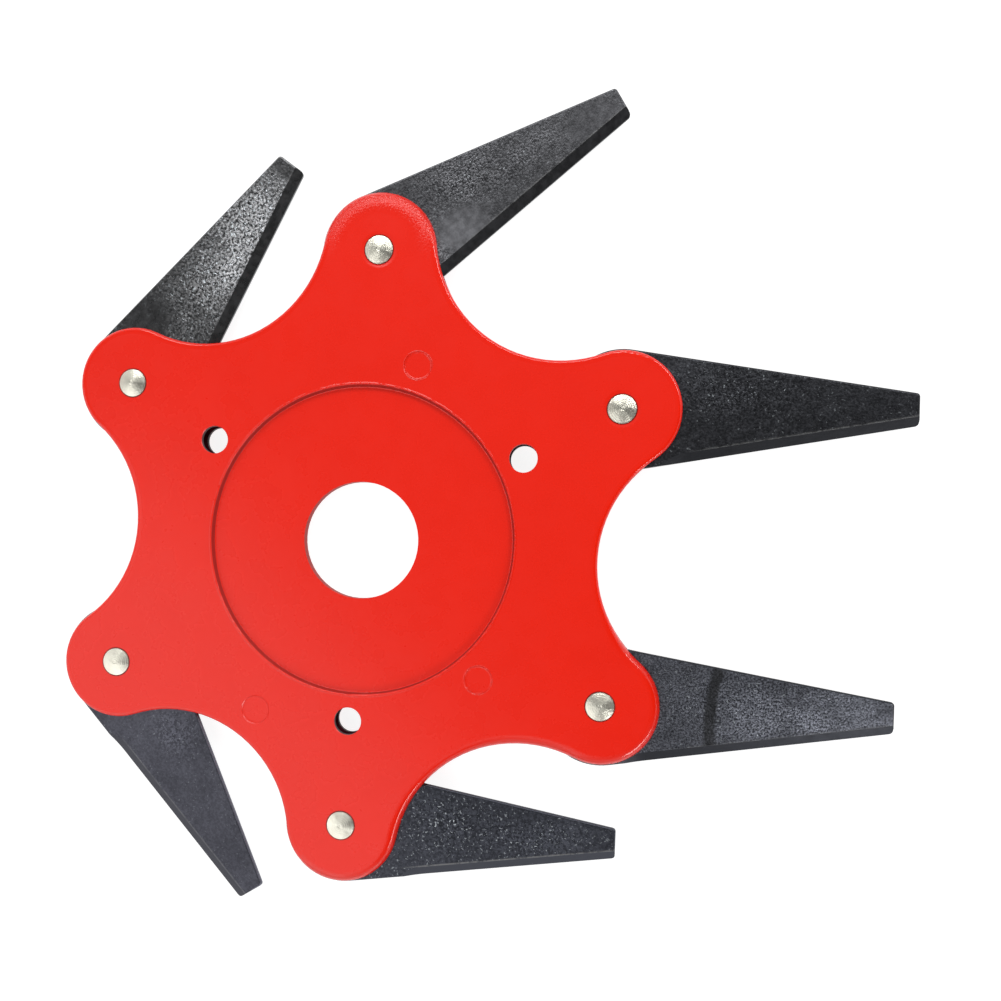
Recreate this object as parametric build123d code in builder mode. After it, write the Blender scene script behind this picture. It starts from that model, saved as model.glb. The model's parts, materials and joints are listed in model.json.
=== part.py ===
"""Brush cutter blade: two pressed, lobed discs with six swinging blades between them.

Frame: millimetres, +Z up, origin on the arbor's axis at the level where the two discs touch.
The first lobe points along +Y and the rest follow counter-clockwise.
"""

import os
from math import asin, atan2, cos, hypot, radians, sin, tan

from build123d import *

# Discs
sheet = 1.0  # thickness of each pressed disc
lobe_count = 6
pivot_radius = 62.4  # from the arbor's axis to each pivot pin
lobe_radius = 12.45
waist_radius = 51.3  # from the arbor's axis to the bottom of each hollow between two lobes
rim_round = 0.9  # rolled outer edge
bore_diameter = 25.4
recess_diameter = 67.2  # sunk middle, at the outer face
recess_run = 0.4  # width of the steep wall around the sunk middle
hollow_bend_radius = 0.3  # of the bends in the sheet, seen from the side they hollow out
crown_bend_radius = 0.35  # the same bends seen from the other side, pressed sharp

# Through holes and spacer studs
hole_margin = 5.9  # from the sunk middle's rim out to the circle with the holes and the first two studs
hole_diameter = 6.0
hole_count = 3
stud_angles = [75.0, -45.0, -118.3]
third_stud_margin = 10.6  # from the sunk middle's rim, as hole_margin is
stud_diameter = 6.0  # where the stud passes through a disc
stud_shoulder_diameter = 8.0
stud_sink = 0.15  # depth of the painted-over stud ends below the outer face
edge_break = 0.15  # on the rims of all small holes

# Pivot pins
pin_diameter = 6.0  # where the pin passes through a disc
pin_shoulder_diameter = 9.0  # the blade turns on this
pin_stand = 0.1  # straight part of each end outside the disc
pin_dome = 0.6  # height of each domed end

# Blades
blade_thickness = 1.8
blade_length = 59.5  # from the pivot to the tip
blade_butt_radius = 12.8
blade_tip_width = 6.5
blade_tip_round = 0.8
blade_edge_round = 0.45  # on both faces, all around the outline
bevel_width = 1.95
bevel_depth = 1.0
bevel_starts = [8.0, 12.0, 16.0, 17.0, 8.0, 12.0]  # along each blade's edge, to where its bevel is fully wide
bevel_wheel_radius = 10.0  # curve in which the bevel runs out towards the butt
bevel_overcut = 2.0  # how many times the bevel's own size the grinding cut is, so that it passes the edge
blade_angles = [-56.5, -93.5, 95.0, 92.0, 32.75, -26.8]  # from each blade's own lobe, counter-clockwise

# Clearances
blade_play = 0.1  # between a blade and each disc
pivot_clearance = 0.07  # radial, between a blade and its pin
press_clearance = 0.02  # radial, where a pin or a stud passes through a disc

# Heights and angles that follow
half_gap = blade_thickness / 2 + blade_play
outer_face = half_gap + sheet
recess_radius = recess_diameter / 2
hole_circle_radius = recess_radius + hole_margin
lobe_pitch = 360 / lobe_count
lobe_angles = [90 + lobe_pitch * n for n in range(lobe_count)]
hole_angles = [lobe_angles[0] - lobe_pitch + 360 / hole_count * n for n in range(hole_count)]
stud_radii = [hole_circle_radius, hole_circle_radius, recess_radius + third_stud_margin]


def at(radius, angle):
    """The point at a radius and an angle in degrees about the arbor's axis."""
    return Vector(radius * cos(radians(angle)), radius * sin(radians(angle)))


def hollow_size():
    """Radius and centre radius of the arc that touches two neighbouring lobes and the waist."""
    foot = pivot_radius * cos(radians(lobe_pitch / 2))
    rise = pivot_radius**2 + waist_radius**2 - lobe_radius**2 - 2 * foot * waist_radius
    radius = rise / (2 * (lobe_radius - waist_radius + foot))
    return radius, waist_radius + radius


def touching_point(lobe_angle, side):
    """Where a lobe's arc meets the hollow beside it: side is +1 counter-clockwise, -1 clockwise."""
    lobe = at(pivot_radius, lobe_angle)
    hollow = at(hollow_size()[1], lobe_angle + side * lobe_pitch / 2)
    return lobe + (hollow - lobe).normalized() * lobe_radius


def turned_pin(centre, shoulder_diameter, end_diameter, end_height, dome):
    """A pin on a vertical axis: a shoulder that fills the gap between the discs, and two equal ends."""
    end_radius = end_diameter / 2
    with BuildPart() as pin:
        with BuildSketch(Plane(origin=centre, x_dir=(1, 0, 0), z_dir=(0, -1, 0))):
            with BuildLine():
                top = Polyline(
                    (0, end_height + dome),
                    (0, 0),
                    (shoulder_diameter / 2, 0),
                    (shoulder_diameter / 2, half_gap),
                    (end_radius, half_gap),
                    (end_radius, end_height),
                )
                if dome > 0:
                    RadiusArc(top @ 1, top @ 0, -(end_radius**2 + dome**2) / (2 * dome))
                else:
                    Line(top @ 1, top @ 0)
            make_face()
            mirror(about=Plane.XZ)
        revolve(axis=Axis(centre, (0, 0, 1)))
    return pin.part


def swing_blade(lobe_angle, blade_angle, bevel_start):
    """A tapered blade on its pivot: one bevel above, on its clockwise edge, and one below, on the other."""
    direction = at(1, lobe_angle + blade_angle)
    level = Plane(origin=at(pivot_radius, lobe_angle), x_dir=direction, z_dir=(0, 0, 1))
    half_tip = blade_tip_width / 2
    taper = asin(blade_butt_radius / hypot(blade_length, half_tip)) - atan2(half_tip, blade_length)
    along = Vector(cos(taper), sin(taper))
    outward = Vector(sin(taper), -cos(taper))
    shoulder = outward * blade_butt_radius
    with BuildPart() as blade:
        with BuildSketch(level.offset(-blade_thickness / 2)):
            with BuildLine():
                far_shoulder = Vector(shoulder.X, -shoulder.Y)
                Polyline(shoulder, (blade_length, -half_tip), (blade_length, half_tip), far_shoulder)
                ThreePointArc(far_shoulder, (-blade_butt_radius, 0), shoulder)
            outline = make_face()
            fillet(outline.vertices().group_by(Axis.X)[-1], blade_tip_round)
        extrude(amount=blade_thickness)
        fillet(blade.edges().filter_by(Axis.Z, reverse=True), blade_edge_round)
        with Locations(level):
            Hole(pin_shoulder_diameter / 2 + pivot_clearance)
        for facing in (1, -1):
            side = Plane(origin=level.origin, x_dir=direction, z_dir=(0, 0, facing))
            ridge_start = outward * (blade_butt_radius - bevel_width) + along * bevel_start
            ridge_start = side.from_local_coords((ridge_start.X, ridge_start.Y, blade_thickness / 2))
            section = Plane(
                origin=ridge_start,
                x_dir=side.from_local_coords(outward) - side.origin,
                z_dir=side.from_local_coords(along) - side.origin,
            )
            wheel = section.from_local_coords((bevel_wheel_radius, 0, 0))
            cut_width = bevel_overcut * bevel_width
            cut_depth = bevel_overcut * bevel_depth
            with BuildSketch(section) as bevel:
                with BuildLine():
                    Polyline((0, 0), (cut_width, cut_depth), (cut_width, 0), close=True)
                make_face()
            extrude(amount=blade_length, mode=Mode.SUBTRACT)
            revolve(bevel.sketch, axis=Axis(wheel, side.z_dir), mode=Mode.SUBTRACT)
    return blade.part


# Upper disc: the lobed flat, then the sunk middle turned into it, then its holes
floor_radius = recess_radius - recess_run
bend_shift = sheet * tan(atan2(half_gap, recess_run) / 2)
web_radius = (recess_radius + hole_circle_radius) / 2
bends = [hollow_bend_radius, crown_bend_radius]
with BuildPart() as upper_disc:
    with BuildSketch(Plane.XY.offset(half_gap)):
        with BuildLine():
            for lobe_angle in lobe_angles:
                lobe_start = touching_point(lobe_angle, -1)
                lobe_crown = at(pivot_radius + lobe_radius, lobe_angle)
                lobe_end = touching_point(lobe_angle, 1)
                waist = at(waist_radius, lobe_angle + lobe_pitch / 2)
                next_lobe_start = touching_point(lobe_angle + lobe_pitch, -1)
                ThreePointArc(lobe_start, lobe_crown, lobe_end)
                ThreePointArc(lobe_end, waist, next_lobe_start)
        make_face()
        Circle(web_radius, mode=Mode.SUBTRACT)
    extrude(amount=sheet)
    with BuildSketch(Plane.XZ):
        with BuildLine():
            above = FilletPolyline(
                (bore_diameter / 2, sheet),
                (floor_radius, sheet),
                (recess_radius, outer_face),
                (web_radius, outer_face),
                radius=bends,
            )
            below = FilletPolyline(
                (bore_diameter / 2, 0),
                (floor_radius + bend_shift, 0),
                (recess_radius + bend_shift, half_gap),
                (web_radius, half_gap),
                radius=bends[::-1],
            )
            Line(above @ 0, below @ 0)
            Line(above @ 1, below @ 1)
        make_face()
    revolve(axis=Axis.Z)
    flat = upper_disc.faces().filter_by(Plane.XY).sort_by(Axis.Z)[-1]
    fillet(flat.outer_wire().edges(), rim_round)
    with Locations(*[at(pivot_radius, angle) for angle in lobe_angles]):
        Hole(pin_diameter / 2 + press_clearance)
    with Locations(*[at(hole_circle_radius, angle) for angle in hole_angles]):
        Hole(hole_diameter / 2)
    with Locations(*[at(radius, angle) for radius, angle in zip(stud_radii, stud_angles)]):
        Hole(stud_diameter / 2 + press_clearance)
    flat = upper_disc.faces().filter_by(Plane.XY).sort_by(Axis.Z)[-1]
    chamfer(flat.inner_wires().edges().filter_by(lambda edge: edge.radius < lobe_radius), edge_break)
upper_disc.part.label = "upper_disc"

# Lower disc: the upper one's mirror image
with BuildPart() as lower_disc:
    mirror(upper_disc.part, about=Plane.XY)
lower_disc.part.label = "lower_disc"

os.makedirs("parts", exist_ok=True)
export_step(upper_disc.part, "parts/upper_disc.step")
export_step(lower_disc.part, "parts/lower_disc.step")

# Spacer studs: their ends lie just under the outer faces
for number, (radius, angle) in enumerate(zip(stud_radii, stud_angles), start=1):
    stud = turned_pin(
        at(radius, angle), stud_shoulder_diameter, stud_diameter, outer_face - stud_sink, dome=0
    )
    stud.label = f"spacer_stud_{number}"
    export_step(stud, f"parts/{stud.label}.step")

# Pivot pins: their ends stand proud and are domed
for number, angle in enumerate(lobe_angles, start=1):
    pin = turned_pin(
        at(pivot_radius, angle), pin_shoulder_diameter, pin_diameter, outer_face + pin_stand, pin_dome
    )
    pin.label = f"pivot_pin_{number}"
    export_step(pin, f"parts/{pin.label}.step")

# Blades
for number, sizes in enumerate(zip(lobe_angles, blade_angles, bevel_starts), start=1):
    blade = swing_blade(*sizes)
    blade.label = f"blade_{number}"
    export_step(blade, f"parts/{blade.label}.step")
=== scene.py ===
import json
from math import asin, atan2, cos, hypot, pi, radians, sin

import bpy
from mathutils import Euler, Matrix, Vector


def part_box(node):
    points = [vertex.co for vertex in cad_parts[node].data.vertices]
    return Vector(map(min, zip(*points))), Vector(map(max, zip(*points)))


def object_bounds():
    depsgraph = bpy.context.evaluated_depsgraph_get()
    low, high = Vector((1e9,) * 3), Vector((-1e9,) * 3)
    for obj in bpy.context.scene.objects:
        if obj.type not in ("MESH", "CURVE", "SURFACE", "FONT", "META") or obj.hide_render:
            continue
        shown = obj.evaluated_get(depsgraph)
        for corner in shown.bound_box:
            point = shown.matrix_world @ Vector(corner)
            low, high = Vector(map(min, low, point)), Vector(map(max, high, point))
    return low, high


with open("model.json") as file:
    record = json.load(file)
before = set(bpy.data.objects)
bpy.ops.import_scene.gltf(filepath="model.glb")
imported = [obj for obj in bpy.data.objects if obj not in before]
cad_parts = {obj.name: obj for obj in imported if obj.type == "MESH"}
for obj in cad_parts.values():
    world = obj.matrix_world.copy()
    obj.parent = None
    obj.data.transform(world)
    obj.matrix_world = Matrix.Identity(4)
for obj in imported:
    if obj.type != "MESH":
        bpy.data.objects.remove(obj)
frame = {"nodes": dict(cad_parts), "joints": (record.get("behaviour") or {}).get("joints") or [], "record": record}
cad_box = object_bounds()
nodes = frame["nodes"]

MM = 0.001

# Camera: the photograph's viewing angle, worked out from the disc's round features
CAMERA_PLACE = (0.0500, 0.0030, 0.1773)
CAMERA_TURN = (-1.0507, 6.5047, 4.1134)  # degrees about X, Y and Z
CAMERA_LENS = 29.90  # mm, on the standard 36 mm sensor
CAMERA_SHIFT = (0.0027, 0.0576)

# Places and sizes from the frame, in millimetres
PIVOTS = {joint["child"]: Vector(joint["pos_m"]) / MM for joint in frame["joints"]}
PIVOT_RADIUS = PIVOTS["swinging_blade_1"].length  # from the arbor's axis
LOBE_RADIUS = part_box("upper_disc")[1].y / MM - PIVOT_RADIUS
THROUGH_HOLES = [mount for mount in frame["record"]["mounts"] if mount["name"].startswith("through_hole")]
HOLE_PLACES = [Vector(mount["pos_m"]) / MM for mount in THROUGH_HOLES]
HOLE_RADIUS = THROUGH_HOLES[0]["dims"]["r_mm"]

# Sizes of the discs, studs and pins that the frame doesn't name, in millimetres
AXIS = (0, 0)
WAIST_RADIUS = 51.3  # from the arbor's axis to the bottom of the hollow between two lobes
HALF_PITCH = pi / 6  # from the middle of a lobe to the hollow beside it, in radians
RECESS_RADIUS = 33.6
HALF_GAP = 1.0  # from the middle up to the upper disc's hidden face
STUD_RADIUS = 3.0
PIN_RADIUS = 3.0
PIN_WIDTH = 9.0  # across a pin's shoulder, its widest part

# Relief of the red sheet, in millimetres
PEEL = 0.007
GRIT = 0.003
TOP_LOBE = (0, 74)
TOP_LOBE_REACH = (15, 8)  # radius and soft edge of the stretch that counts as the top lobe
TOP_GRIT = 0.17
TOP_ROLL = (3.2, 1.1)  # width and drop of the rolled edge at the top lobe
LOW_ROLL = (2.2, 0.9)  # the same along the lower right side
LOW_SIDE = radians(-50)  # the direction of that side
LOW_SIDE_FROM = (44, 54)  # how far out from the arbor's axis it begins
DISHED_AT = ("swinging_blade_1", "swinging_blade_6")  # blades whose pins sit in a shallow dish
DISH = (3.6, 0.9, 0.12)  # radius, soft edge and depth
STUD_LIPS = {"spacer_stud_1": 0.15, "spacer_stud_2": 0.12, "spacer_stud_3": 0.03}  # the paint's lip
RECESS_LIP = 0.11
LIP_WIDTH = 0.35

# Colours of the red sheet
RED = ((0.83, 0.0125, 0.0020, 1), (0.90, 0.0150, 0.0026, 1))
# Painted shade: a dark red for the sunk middle's wall and a thin ring round each pin, where shade falls
PAINTED_SHADE_RED = (0.14, 0.005, 0.003, 1)
# Painted shade: a dark colour for the discs' hidden inner faces round the through holes, in the gap between the
# discs
SHADE_BETWEEN_DISCS = (0.08, 0.012, 0.020, 1)
# A dark, near black brown for the walls of the through holes
DARK_HOLE_WALL = ((0.030, 0.011, 0.013, 1), (0.070, 0.030, 0.034, 1))

# Turned pins: relief in millimetres, and colours
RING_PITCH = 0.42
RINGS = 0.0075
FINE_RINGS = 0.018
DENTS = 0.09
DIMPLE = 0.06
PIN_STEEL = ((0.82, 0.80, 0.67, 1), (1.0, 0.98, 0.86, 1))

# A blade's outline, in millimetres
BUTT_RADIUS = 12.8
BLADE_LENGTH = 59.5
TIP_WIDTH = 6.5
BEVEL_WIDTH = 1.95
TAPER = asin(BUTT_RADIUS / hypot(BLADE_LENGTH, TIP_WIDTH / 2)) - atan2(TIP_WIDTH / 2, BLADE_LENGTH)

# Blades: relief in millimetres, and greys
SWELL = 0.05  # slow rise and fall of a face
GRINDING_LINES = 0.008
# Light grey specks on a blade: partly worn metal, partly painted glints
SPECK_GREY = 0.8
SPECK_TINT = (0.93, 1.0, 1.06)
# Painted highlight along the line between a blade's face and its bevel
RIDGE_HIGHLIGHT_GREY = 0.30


# Node trees
def node(tree, kind, inputs=None, **settings):
    """A node of one kind, with its settings and its inputs: a number, a colour or another node's output."""
    made = tree.nodes.new("ShaderNode" + kind)
    for name, value in settings.items():
        setattr(made, name, value)
    for name, value in (inputs or {}).items():
        if isinstance(value, bpy.types.NodeSocket):
            tree.links.new(value, made.inputs[name])
        else:
            made.inputs[name].default_value = value
    return made


def math(tree, operation, first, second=0.0):
    return node(tree, "Math", {0: first, 1: second}, operation=operation).outputs[0]


def total(tree, *values):
    result = values[0]
    for value in values[1:]:
        result = math(tree, "ADD", result, value)
    return result


def product(tree, *values):
    result = values[0]
    for value in values[1:]:
        result = math(tree, "MULTIPLY", result, value)
    return result


def rest_of(tree, share):
    """What a share leaves of 1."""
    return math(tree, "SUBTRACT", 1.0, share)


def vector(tree, operation, first, second=None, scale=None):
    values = {0: first}
    if second is not None:
        values[1] = second
    if scale is not None:
        values["Scale"] = scale
    made = node(tree, "VectorMath", values, operation=operation)
    return made.outputs["Value" if operation in ("DOT_PRODUCT", "LENGTH", "DISTANCE") else "Vector"]


def coordinate(tree, point, axis):
    """One coordinate of a point or direction: 0 for X, 1 for Y and 2 for Z."""
    return node(tree, "SeparateXYZ", {0: point}).outputs[axis]


def mix(tree, share, low, high):
    """A number between low and high."""
    return node(tree, "Mix", {0: share, 2: low, 3: high}, data_type="FLOAT").outputs[0]


def mix_colour(tree, share, low, high):
    """A colour between low and high."""
    return node(tree, "Mix", {0: share, 6: low, 7: high}, data_type="RGBA").outputs[2]


def ramp(tree, value, start, end, low=0.0, high=1.0, smooth=True):
    """Runs from low to high as the value goes from start to end."""
    if start > end:
        start, end, low, high = end, start, high, low
    kind = "SMOOTHSTEP" if smooth else "LINEAR"
    values = {"Value": value, "From Min": start, "From Max": end, "To Min": low, "To Max": high}
    return node(tree, "MapRange", values, interpolation_type=kind).outputs["Result"]


def noise(tree, point, scale, detail=2.0, roughness=0.5, distortion=0.0):
    """Noise from 0 to 1, with scale waves to a millimetre."""
    values = {"Vector": point, "Scale": scale, "Detail": detail}
    values.update({"Roughness": roughness, "Distortion": distortion})
    return node(tree, "TexNoise", values).outputs["Fac"]


def grey(level, tint=(1, 1, 1)):
    return tuple(level * share for share in tint) + (1,)


def new_material(name):
    """A material with an empty tree but for its shader and output, and the surface's point in millimetres."""
    material = bpy.data.materials.new(name)
    material.use_nodes = True
    tree = material.node_tree
    tree.nodes.clear()
    shader = node(tree, "BsdfPrincipled")
    output = node(tree, "OutputMaterial")
    tree.links.new(shader.outputs[0], output.inputs["Surface"])
    place = node(tree, "TexCoord").outputs["Object"]
    point = vector(tree, "SCALE", place, scale=1 / MM)
    return material, tree, shader, point


def set_inputs(tree, shader, **values):
    for name, value in values.items():
        socket = shader.inputs[name.replace("_", " ")]
        if isinstance(value, bpy.types.NodeSocket):
            tree.links.new(value, socket)
        else:
            socket.default_value = value


def bump(tree, height):
    """A normal from a height in millimetres."""
    return node(tree, "Bump", {"Height": height, "Distance": MM, "Strength": 1.0}).outputs[0]


def facing_up(tree):
    """How far the surface faces up: 1 on a level top, 0 on a wall and -1 underneath."""
    return coordinate(tree, node(tree, "NewGeometry").outputs["Normal"], 2)


def distance_from(tree, point, place):
    """How far a point is from the upright line through a place."""
    flat = vector(tree, "MULTIPLY", point, (1, 1, 0))
    return vector(tree, "DISTANCE", flat, (place[0], place[1], 0))


def near(tree, point, place, radius, soft):
    """1 within a radius of the upright line through a place, 0 beyond it, over a soft edge."""
    return ramp(tree, distance_from(tree, point, place), radius + soft / 2, radius - soft / 2)


def near_holes(tree, point, radius, soft):
    """1 within a radius of a through hole's axis, 0 beyond it, over a soft edge."""
    return total(tree, *(near(tree, point, place, radius, soft) for place in HOLE_PLACES))


def lip(tree, point, place, radius, width):
    """1 on a circle around the upright line through a place, falling to 0 at a width to either side."""
    away = math(tree, "ABSOLUTE", math(tree, "SUBTRACT", distance_from(tree, point, place), radius))
    return ramp(tree, away, width, 0.0)


# Red discs and studs
def fold_lobes(tree, point):
    """Turns and mirrors a point of the disc into the half of one lobe that lies along X."""
    x = coordinate(tree, point, 0)
    y = coordinate(tree, point, 1)
    turn = math(tree, "PINGPONG", math(tree, "ARCTAN2", x, y), HALF_PITCH)
    reach = math(tree, "SQRT", total(tree, product(tree, x, x), product(tree, y, y)))
    along = product(tree, reach, math(tree, "COSINE", turn))
    aside = product(tree, reach, math(tree, "SINE", turn))
    return node(tree, "CombineXYZ", {0: along, 1: aside, 2: 0.0}).outputs[0]


def edge_distance(tree, folded):
    """How far a folded point of the disc is from the disc's outline, in millimetres."""
    foot = PIVOT_RADIUS * cos(HALF_PITCH)
    rise = PIVOT_RADIUS**2 + WAIST_RADIUS**2 - LOBE_RADIUS**2 - 2 * foot * WAIST_RADIUS
    hollow_radius = rise / (2 * (LOBE_RADIUS - WAIST_RADIUS + foot))
    lobe = Vector((PIVOT_RADIUS, 0, 0))
    hollow = Vector((cos(HALF_PITCH), sin(HALF_PITCH), 0)) * (WAIST_RADIUS + hollow_radius)
    from_lobe = math(tree, "SUBTRACT", LOBE_RADIUS, vector(tree, "DISTANCE", folded, lobe))
    from_hollow = math(tree, "SUBTRACT", vector(tree, "DISTANCE", folded, hollow), hollow_radius)
    across = Vector((0, 0, 1)).cross(hollow - lobe).normalized()
    side = vector(tree, "DOT_PRODUCT", vector(tree, "SUBTRACT", folded, lobe), across)
    return mix(tree, math(tree, "LESS_THAN", side, 0.0), from_hollow, from_lobe)


def rolled_edge(tree, edge, width, drop):
    """A height that bends down towards the outline, over a width, by a drop."""
    share = ramp(tree, edge, width, 0.0, smooth=False)
    return product(tree, share, share, -drop)


def sheet_bends(tree, point, edge, top_lobe):
    """Where the sheet's edge is rolled wider than elsewhere, and its dishes at two pins, as heights."""
    outward = vector(tree, "DOT_PRODUCT", point, (cos(LOW_SIDE), sin(LOW_SIDE), 0))
    low_side = ramp(tree, outward, *LOW_SIDE_FROM)
    bends = [
        product(tree, rolled_edge(tree, edge, *TOP_ROLL), top_lobe),
        product(tree, rolled_edge(tree, edge, *LOW_ROLL), low_side),
    ]
    radius, soft, depth = DISH
    for body in DISHED_AT:
        bends.append(product(tree, near(tree, point, PIVOTS[body], radius, soft), -depth))
    return bends


def paint_lips(tree, point):
    """The lips of paint around the studs and the sunk middle, as heights."""
    spots = noise(tree, point, scale=0.35, detail=3.0, roughness=0.6)
    patchy = ramp(tree, spots, 0.35, 0.55, low=0.35)
    lips = []
    for stud, height in STUD_LIPS.items():
        lowest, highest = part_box(stud)
        middle = (lowest + highest) / 2 / MM
        raised = lip(tree, point, middle, STUD_RADIUS - 0.05, LIP_WIDTH)
        lips.append(product(tree, raised, patchy, height))
    raised = lip(tree, point, AXIS, RECESS_RADIUS + 0.25, LIP_WIDTH)
    lips.append(product(tree, raised, patchy, RECESS_LIP))
    return lips


def red_relief(tree, point, edge):
    """The paint's skin, its lips and the sheet's finer bends, as one height in millimetres."""
    top_lobe = near(tree, point, TOP_LOBE, *TOP_LOBE_REACH)
    gritty = product(tree, top_lobe, ramp(tree, edge, 5.0, 2.5))
    peel = product(tree, noise(tree, point, scale=0.9, roughness=0.55), PEEL)
    grit = product(tree, noise(tree, point, scale=2.2, roughness=0.6), mix(tree, gritty, GRIT, TOP_GRIT))
    return total(tree, peel, grit, *sheet_bends(tree, point, edge, top_lobe), *paint_lips(tree, point))


def red_paint():
    """Gloss red paint, with painted shade round the pins, on the sunk middle's wall and between the discs, and
    dark through-hole walls.
    """
    material, tree, shader, point = new_material("red_paint")
    folded = fold_lobes(tree, point)
    edge = edge_distance(tree, folded)
    level = math(tree, "ABSOLUTE", facing_up(tree))

    tone = noise(tree, point, scale=0.06, detail=3.0, roughness=0.6)
    colour = mix_colour(tree, tone, *RED)
    # Painted shade: the sunk middle's steep wall and a thin ring round each pin are darkened, where shade falls
    middle = near(tree, point, AXIS, RECESS_RADIUS + 0.4, soft=0.2)
    steep = product(tree, ramp(tree, level, 0.9, 0.55), middle, 0.72)
    seat = product(tree, lip(tree, folded, (PIVOT_RADIUS, 0), PIN_RADIUS + 0.1, width=0.3), 0.85)
    colour = mix_colour(tree, math(tree, "MAXIMUM", steep, seat), colour, PAINTED_SHADE_RED)

    # Painted shade: the discs' inner faces in the gap round the through holes are darkened
    height = math(tree, "ABSOLUTE", coordinate(tree, point, 2))
    hidden = ramp(tree, height, HALF_GAP + 0.3, HALF_GAP + 0.1)
    between = product(tree, hidden, near_holes(tree, point, HOLE_RADIUS + 1.5, soft=1.5))
    colour = mix_colour(tree, between, colour, SHADE_BETWEEN_DISCS)

    # The through holes' walls are coloured a dark, near black brown, mottled by noise
    wall = ramp(tree, level, 0.5, 0.3)
    dark_hole_wall = product(tree, wall, near_holes(tree, point, HOLE_RADIUS + 0.2, soft=0.1))
    smear = noise(tree, point, scale=0.9, detail=3.0, roughness=0.6)
    colour = mix_colour(tree, dark_hole_wall, colour, mix_colour(tree, smear, *DARK_HOLE_WALL))

    gloss = ramp(tree, noise(tree, point, scale=0.25, detail=3.0), 0.2, 0.8, low=0.25, high=0.31)
    gloss = mix(tree, ramp(tree, edge, 1.7, 1.0), gloss, 0.11)
    gloss = mix(tree, math(tree, "MINIMUM", product(tree, steep, 2.0), 1.0), gloss, 0.55)
    gloss = mix(tree, dark_hole_wall, gloss, 0.6)
    normal = bump(tree, red_relief(tree, point, edge))
    set_inputs(tree, shader, Base_Color=colour, Normal=normal, IOR=1.5, Roughness=gloss)
    return material


# Pins
def turned_steel():
    """Bright steel with the rings of the lathe, a dimple in the middle and small dents."""
    material, tree, shader, point = new_material("turned_steel")
    local = vector(tree, "SUBTRACT", node(tree, "TexCoord").outputs["Generated"], (0.5, 0.5, 0.0))
    reach = vector(tree, "LENGTH", vector(tree, "MULTIPLY", local, (PIN_WIDTH, PIN_WIDTH, 0.0)))
    wobble = noise(tree, point, scale=0.8)
    turn = total(tree, product(tree, reach, 2 * pi / RING_PITCH), product(tree, wobble, 2.0))
    outward = node(tree, "CombineXYZ", {0: product(tree, reach, 7.0), 1: 0.0, 2: 0.0}).outputs[0]
    fine = noise(tree, outward, scale=1.0, detail=3.0)
    dents = noise(tree, point, scale=1.5, detail=3.0, roughness=0.65, distortion=0.5)
    height = total(
        tree,
        product(tree, math(tree, "SINE", turn), RINGS),
        product(tree, fine, FINE_RINGS),
        product(tree, dents, DENTS),
        product(tree, ramp(tree, reach, 0.55, 0.25), -DIMPLE),
    )
    tone = noise(tree, point, scale=0.5, detail=4.0, roughness=0.6)
    tangent = node(tree, "Tangent", direction_type="RADIAL", axis="Z").outputs[0]
    set_inputs(tree, shader, Base_Color=mix_colour(tree, tone, *PIN_STEEL), Metallic=1.0,
               Anisotropic=0.85, Anisotropic_Rotation=0.25, Tangent=tangent,
               Roughness=ramp(tree, fine, 0.3, 0.7, low=0.28, high=0.40), Normal=bump(tree, height))
    return material


# Blades
def blade_axes(body):
    """A blade's pivot and the direction from it to the tip, in millimetres and radians."""
    mesh = nodes[body.replace("swinging_", "")].data
    pivot = PIVOTS[body]
    reaches = [vertex.co / MM - pivot for vertex in mesh.vertices]
    far = max(hypot(reach.x, reach.y) for reach in reaches)
    tip = sum((reach for reach in reaches if hypot(reach.x, reach.y) > far - 0.5), Vector())
    return pivot, atan2(tip.y, tip.x)


def patch(tree, along, centre, radii, hard=0.0):
    """1 in the middle of an oval patch of a blade, 0 outside it."""
    flat = vector(tree, "MULTIPLY", along, (1, 1, 0))
    away = vector(tree, "SUBTRACT", flat, (centre[0], centre[1], 0))
    away = vector(tree, "LENGTH", vector(tree, "MULTIPLY", away, (1 / radii[0], 1 / radii[1], 0)))
    return ramp(tree, away, 1.0, hard)


def skin_share(tree, along, coarse, look):
    """How much of the forging skin shows: what lies all over, more in rough patches, less in smooth ones."""
    share = 0.0
    for centre, radii, amount in look["rough"]:
        share = total(tree, share, product(tree, patch(tree, along, centre, radii), amount))
    share = product(tree, share, ramp(tree, coarse, 0.35, 0.6, low=0.45))
    share = total(tree, share, look["rest"])
    for centre, radii, amount in look.get("smooth", ()):
        plain = product(tree, patch(tree, along, centre, radii, hard=0.5), amount)
        share = product(tree, share, rest_of(tree, plain))
    return math(tree, "MINIMUM", share, 1.0)


def steel_colour(tree, along, coarse, medium, pebbles, rough, look):
    """A blade's grey: lighter on the skin's tops and darker in its pits, partly as painted glints and shade, and
    raised in patches of painted reflection.
    """
    tone = ramp(tree, total(tree, product(tree, coarse, 0.6), product(tree, medium, 0.4)), 0.3, 0.7)
    # Each blade's greys: partly its own tone, partly painted light and shade set to how bright the blade looks
    dark, pale = look["tone"]
    colour = mix_colour(tree, tone, grey(dark, look["tint"]), grey(pale, look["tint"]))
    # Tops lighter, partly as worn metal and partly as painted glints; pits darker, as painted shade
    gain = mix(tree, rough, 1.0, ramp(tree, pebbles, 0.38, 0.62, look["pits"], look["tops"]))
    # Painted reflection: patches where the grey is raised to stand in for light reflected off the face
    for centre, radii, amount in look["painted_sheen"]:
        extra = product(tree, patch(tree, along, centre, radii), amount - 1.0)
        gain = product(tree, gain, total(tree, 1.0, extra))
    return vector(tree, "SCALE", colour, scale=gain)


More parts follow.
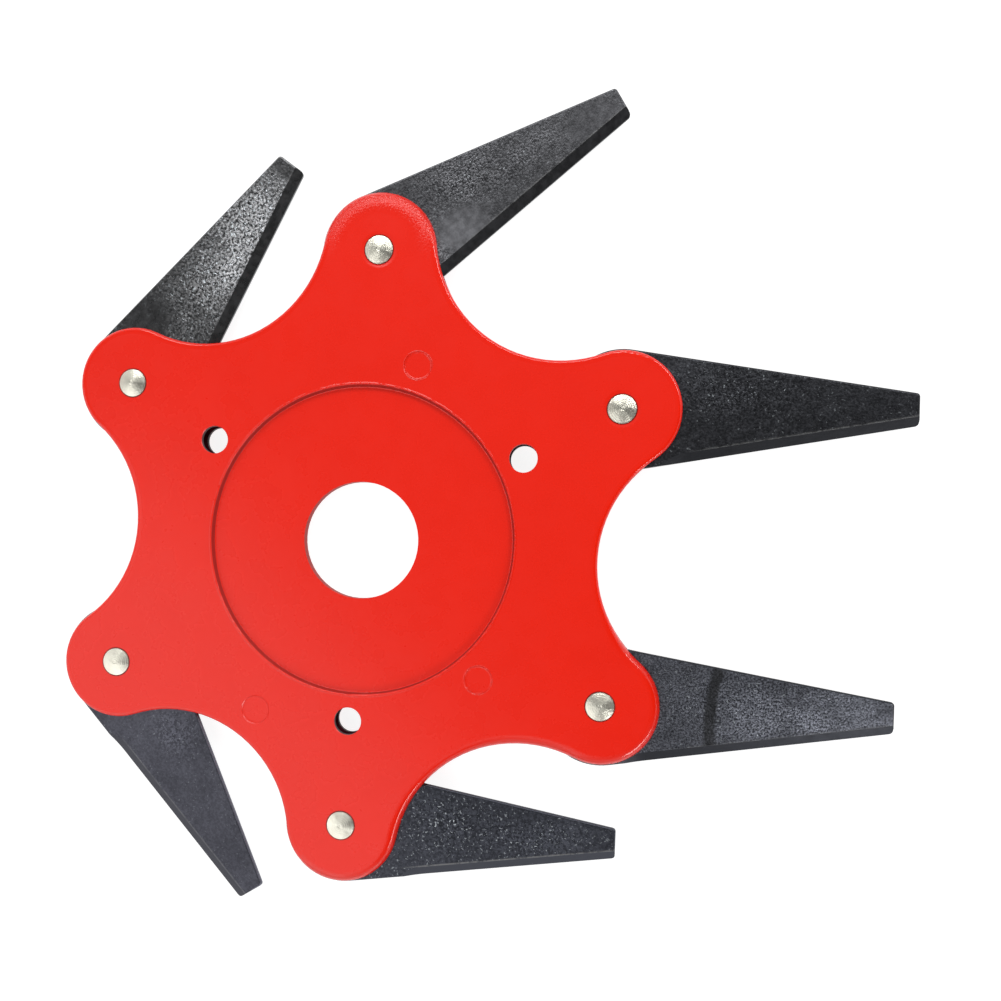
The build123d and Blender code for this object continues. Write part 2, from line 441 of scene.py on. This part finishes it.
def bevel_ridge(tree, u, v, upright, medium):
    """1 on stretches of the line between a blade's face and its bevel, where a painted highlight goes."""
    side = product(tree, v, math(tree, "SIGN", upright))
    inward = total(tree, BUTT_RADIUS, product(tree, u, -sin(TAPER)), product(tree, side, cos(TAPER)))
    outer = ramp(tree, inward, BEVEL_WIDTH - 0.15, BEVEL_WIDTH)
    inner = ramp(tree, inward, BEVEL_WIDTH + 0.35, BEVEL_WIDTH + 0.1)
    return product(tree, outer, inner, ramp(tree, u, 12.0, 20.0), ramp(tree, medium, 0.30, 0.55))


def cross_band(tree, u, v, medium, look):
    """How much of a dark, bowed band across a blade shows."""
    start, end, bow = look["band"]
    bent = total(tree, u, product(tree, v, v, -bow), product(tree, v, -0.08), product(tree, medium, 0.9))
    near_side = ramp(tree, bent, start, start + 1.1)
    far_side = ramp(tree, bent, end, end - 1.1)
    return product(tree, near_side, far_side, look["band_depth"])


def forged_blade(name, body, look):
    """Dark forged steel. A blade's own frame has X from the pivot to the tip and Y towards its plain edge."""
    material, tree, shader, point = new_material(name)
    pivot, turn = blade_axes(body)
    along = vector(tree, "SUBTRACT", point, pivot)
    along = node(tree, "VectorRotate", {"Vector": along, "Center": (0, 0, 0), "Angle": -turn},
                 rotation_type="Z_AXIS").outputs[0]
    seeded = vector(tree, "ADD", along, (look["seed"] * 71.3, look["seed"] * 37.7, look["seed"] * 13.1))
    u = coordinate(tree, along, 0)
    v = coordinate(tree, along, 1)
    upright = facing_up(tree)
    ground_and_shade = ramp(tree, math(tree, "ABSOLUTE", upright), 0.985, 0.93)
    unground = rest_of(tree, ground_and_shade)

    coarse = noise(tree, seeded, scale=0.16, detail=4.0, roughness=0.6)
    medium = noise(tree, seeded, scale=0.7, detail=3.0, roughness=0.6)
    pebbles = noise(tree, seeded, scale=look["grain"], roughness=0.65)
    stretched = vector(tree, "MULTIPLY", seeded, look["stretch"])
    wrinkles = noise(tree, stretched, scale=1.0, detail=3.0, roughness=0.62, distortion=0.8)
    drawn_out = vector(tree, "MULTIPLY", seeded, (0.12, 3.0, 3.0))
    lines = noise(tree, drawn_out, scale=1.0, roughness=0.6)
    rough = skin_share(tree, along, coarse, look)
    relief = total(tree, product(tree, pebbles, look["pebbles"]), product(tree, wrinkles, look["wrinkles"]))
    height = total(tree, product(tree, relief, rough, unground), product(tree, coarse, SWELL),
                   product(tree, lines, ground_and_shade, GRINDING_LINES))

    colour = steel_colour(tree, along, coarse, medium, pebbles, rough, look)
    # Light specks, partly worn metal and partly painted glints
    shifted = vector(tree, "ADD", seeded, (9.1, 5.3, 2.2))
    speck_noise = noise(tree, shifted, scale=1.9, roughness=0.6, distortion=0.4)
    specks = ramp(tree, speck_noise, look["speck_from"], look["speck_from"] + 0.05)
    specks = product(tree, specks, rough, unground, look["specks"])
    colour = mix_colour(tree, specks, colour, grey(SPECK_GREY, SPECK_TINT))
    # Bevels, rounded edges and walls get a grey of their own per blade: partly their grinding finish, partly
    # painted shade
    colour = mix_colour(tree, ground_and_shade, colour, grey(look["ground_and_shade"], look["tint"]))
    # Painted light: a lighter grey on the wall along the plain edge, set to how bright that wall looks
    if "wall" in look:
        wall = product(tree, ground_and_shade, ramp(tree, v, 0.0, 1.0), ramp(tree, upright, -0.3, -0.1))
        colour = mix_colour(tree, wall, colour, grey(look["wall"], look["tint"]))
    # Painted highlight along the line between the face and the bevel
    ridge_highlight = product(tree, bevel_ridge(tree, u, v, upright, medium), look["ridge_highlight"])
    colour = mix_colour(tree, ridge_highlight, colour, grey(RIDGE_HIGHLIGHT_GREY))
    if "band" in look:
        band = cross_band(tree, u, v, medium, look)
        colour = mix_colour(tree, product(tree, band, unground), colour, grey(look["band_tone"]))
        height = product(tree, height, rest_of(tree, product(tree, band, 0.5)))

    gloss = ramp(tree, medium, 0.3, 0.7, look["gloss"] - 0.05, look["gloss"] + 0.06)
    set_inputs(tree, shader, Base_Color=colour, Metallic=1.0, Roughness=gloss, Normal=bump(tree, height))
    return material


# Each blade's look. A patch has a centre and radii in the blade's own frame, in millimetres, and an amount
# Each blade's greys differ from blade to blade partly as the blades' own tone and partly as painted light and
# shade, set to how bright each blade looks
BLADE_LOOKS = [
    {
        "seed": 1, "tone": (0.090, 0.119), "tint": (0.99, 1.0, 1.07), "ground_and_shade": 0.07, "gloss": 0.38,
        "rest": 0.35, "rough": [((22, 4), (16, 11), 0.6), ((36, 2), (14, 8), 0.4), ((11, -5), (5, 7), 0.7)],
        "smooth": [((18, -5), (8, 6), 0.9), ((52, 0), (8, 5), 0.5)],
        "painted_sheen": [((16, -6), (13, 10), 2.4)],
        "grain": 2.2, "pits": 0.3, "tops": 1.85, "pebbles": 0.12, "wrinkles": 0.05,
        "stretch": (1.5, 1.2, 1.0), "specks": 0.45, "speck_from": 0.645, "ridge_highlight": 0.35,
    },
    {
        "seed": 2, "tone": (0.080, 0.102), "tint": (0.99, 1.0, 1.03), "ground_and_shade": 0.16, "gloss": 0.30,
        "rest": 0.30, "rough": [((34, -1), (28, 11), 1.0), ((46, 1), (12, 8), 0.6)],
        "smooth": [((12, 6), (8, 7), 0.7), ((59, 0), (5, 6), 0.6)],
        "painted_sheen": [((43, -1), (22, 10), 2.1), ((32, -4), (14, 6), 1.6)],
        "grain": 1.7, "pits": 0.1, "tops": 2.7, "pebbles": 0.26, "wrinkles": 0.40,
        "stretch": (1.5, 0.8, 1.0), "specks": 0.9, "speck_from": 0.61, "ridge_highlight": 0.15,
    },
    {
        "seed": 3, "tone": (0.060, 0.090), "tint": (0.97, 0.98, 1.20), "ground_and_shade": 0.060, "gloss": 0.42,
        "rest": 0.28, "rough": [((20, 4), (10, 8), 0.7)],
        "painted_sheen": [((16, 2), (14, 12), 1.3)],
        "grain": 2.0, "pits": 0.5, "tops": 1.5, "pebbles": 0.08, "wrinkles": 0.05,
        "stretch": (1.2, 1.2, 1.0), "specks": 0.4, "speck_from": 0.66, "ridge_highlight": 0.25, "wall": 0.14,
    },
    {
        "seed": 4, "tone": (0.056, 0.072), "tint": (0.95, 1.0, 1.22), "ground_and_shade": 0.065, "gloss": 0.40,
        "rest": 0.40, "rough": [((24, 2), (16, 10), 0.6), ((42, 0), (16, 7), 0.5)],
        "painted_sheen": [((50, 0), (18, 9), 1.5)],
        "grain": 2.0, "pits": 0.45, "tops": 1.6, "pebbles": 0.10, "wrinkles": 0.06,
        "stretch": (1.2, 1.2, 1.0), "specks": 0.9, "speck_from": 0.635, "ridge_highlight": 0.6,
    },
    {
        "seed": 5, "tone": (0.122, 0.160), "tint": (0.96, 1.0, 1.17), "ground_and_shade": 0.028, "gloss": 0.38,
        "rest": 0.60, "rough": [((34, 0), (30, 12), 0.5)],
        "painted_sheen": [((44, -3), (32, 12), 1.5), ((56, 1), (20, 10), 1.7)],
        "grain": 2.5, "pits": 0.3, "tops": 1.95, "pebbles": 0.14, "wrinkles": 0.08,
        "stretch": (1.8, 1.8, 1.0), "specks": 0.6, "speck_from": 0.64, "ridge_highlight": 0.2,
        "band": (21.6, 25.0, 0.012), "band_depth": 0.7, "band_tone": 0.05,
    },
    {
        "seed": 6, "tone": (0.058, 0.072), "tint": (0.97, 1.0, 1.12), "ground_and_shade": 0.024, "gloss": 0.38,
        "rest": 0.45, "rough": [((22, 4), (24, 10), 0.6)],
        "painted_sheen": [((12, 8), (10, 8), 1.4)],
        "grain": 1.9, "pits": 0.4, "tops": 1.7, "pebbles": 0.12, "wrinkles": 0.08,
        "stretch": (1.3, 1.3, 1.0), "specks": 0.7, "speck_from": 0.66, "ridge_highlight": 0.35,
    },
]


def dress(name, material):
    mesh = nodes[name].data
    mesh.materials.clear()
    mesh.materials.append(material)


red = red_paint()
steel = turned_steel()
for name in nodes:
    if name.endswith("disc") or name.startswith("spacer_stud"):
        dress(name, red)
    elif name.startswith("pivot_pin"):
        dress(name, steel)
for number, look in enumerate(BLADE_LOOKS, start=1):
    dress(f"blade_{number}", forged_blade(f"blade_{number}_steel", f"swinging_blade_{number}", look))


# Floor, light and camera
def toward(azimuth, elevation):
    """The direction at an azimuth from X towards Y and an elevation above the horizon, in degrees."""
    azimuth, elevation = radians(azimuth), radians(elevation)
    return Vector((cos(azimuth) * cos(elevation), sin(azimuth) * cos(elevation), sin(elevation)))


def soft_light(name, azimuth, elevation, distance, size, radiance):
    """A rectangular lamp that points at the middle of the object, from a direction about it."""
    lamp = bpy.data.lights.new(name, "AREA")
    lamp.shape = "RECTANGLE"
    lamp.size, lamp.size_y = size
    lamp.energy = radiance * pi * size[0] * size[1]
    light = bpy.data.objects.new(name, lamp)
    direction = toward(azimuth, elevation)
    light.location = direction * distance
    light.rotation_euler = direction.to_track_quat("Z", "Y").to_euler()
    light.visible_camera = False
    bpy.context.scene.collection.objects.link(light)


def pale_floor():
    """A plain floor under the object. It glows to the camera and in reflections, so that it shows pale."""
    bpy.ops.mesh.primitive_plane_add(size=4.0, location=(0, 0, cad_box[0].z))
    floor = bpy.context.object
    floor.name = "floor"
    material, tree, shader, point = new_material("pale_floor")
    path = node(tree, "LightPath")
    seen = math(tree, "MAXIMUM", path.outputs["Is Camera Ray"], path.outputs["Is Glossy Ray"])
    seen = math(tree, "MAXIMUM", seen, path.outputs["Is Transmission Ray"])
    grain = noise(tree, point, scale=0.3)
    set_inputs(tree, shader, Base_Color=mix_colour(tree, seen, grey(0.8), grey(0.3)), Roughness=0.9,
               Emission_Color=(1, 1, 1, 1), Emission_Strength=mix(tree, seen, 0.0, 0.88),
               Normal=bump(tree, product(tree, grain, 0.02)))
    floor.data.materials.append(material)


# Azimuth, elevation, outer and inner radius, all in degrees, and the share of the light missing there
DARK_PATCHES = ((-25, 52, 45, 18, 0.65), (0, 45, 20, 8, 0.75))


def studio_world():
    """White to the camera. Its light is strongest about 20 degrees up, with two dark patches above that."""
    world = bpy.data.worlds.new("studio")
    world.use_nodes = True
    tree = world.node_tree
    tree.nodes.clear()
    direction = node(tree, "TexCoord").outputs["Generated"]
    height = coordinate(tree, direction, 2)
    low_down = ramp(tree, height, 0.0, 0.35, low=0.45)
    overhead = ramp(tree, height, 0.25, 0.88, low=1.20, high=0.23)
    light = product(tree, low_down, overhead)
    for azimuth, elevation, outer, inner, missing in DARK_PATCHES:
        facing = vector(tree, "DOT_PRODUCT", direction, toward(azimuth, elevation))
        left = ramp(tree, facing, cos(radians(outer)), cos(radians(inner)), low=1.0, high=1.0 - missing)
        light = product(tree, light, left)
    seen = node(tree, "LightPath").outputs["Is Camera Ray"]
    background = node(tree, "Background", {"Color": (1, 1, 1, 1), "Strength": mix(tree, seen, light, 1.0)})
    output = node(tree, "OutputWorld")
    tree.links.new(background.outputs[0], output.inputs["Surface"])
    bpy.context.scene.world = world


pale_floor()
studio_world()
soft_light("key", azimuth=226, elevation=47, distance=0.5, size=(0.60, 0.42), radiance=0.92)
soft_light("top", azimuth=98, elevation=36, distance=0.6, size=(0.50, 0.14), radiance=5.4)
soft_light("right", azimuth=45, elevation=30, distance=0.6, size=(0.30, 0.09), radiance=9.0)
soft_light("low", azimuth=-45, elevation=24, distance=0.6, size=(0.30, 0.09), radiance=9.0)

camera_data = bpy.data.cameras.new("camera")
camera_data.lens = CAMERA_LENS
camera_data.shift_x, camera_data.shift_y = CAMERA_SHIFT
camera_data.clip_start = 0.01
camera = bpy.data.objects.new("camera", camera_data)
camera.location = CAMERA_PLACE
camera.rotation_euler = Euler([radians(angle) for angle in CAMERA_TURN])
bpy.context.scene.collection.objects.link(camera)
bpy.context.scene.camera = camera
bpy.context.scene.view_settings.view_transform = "Standard"
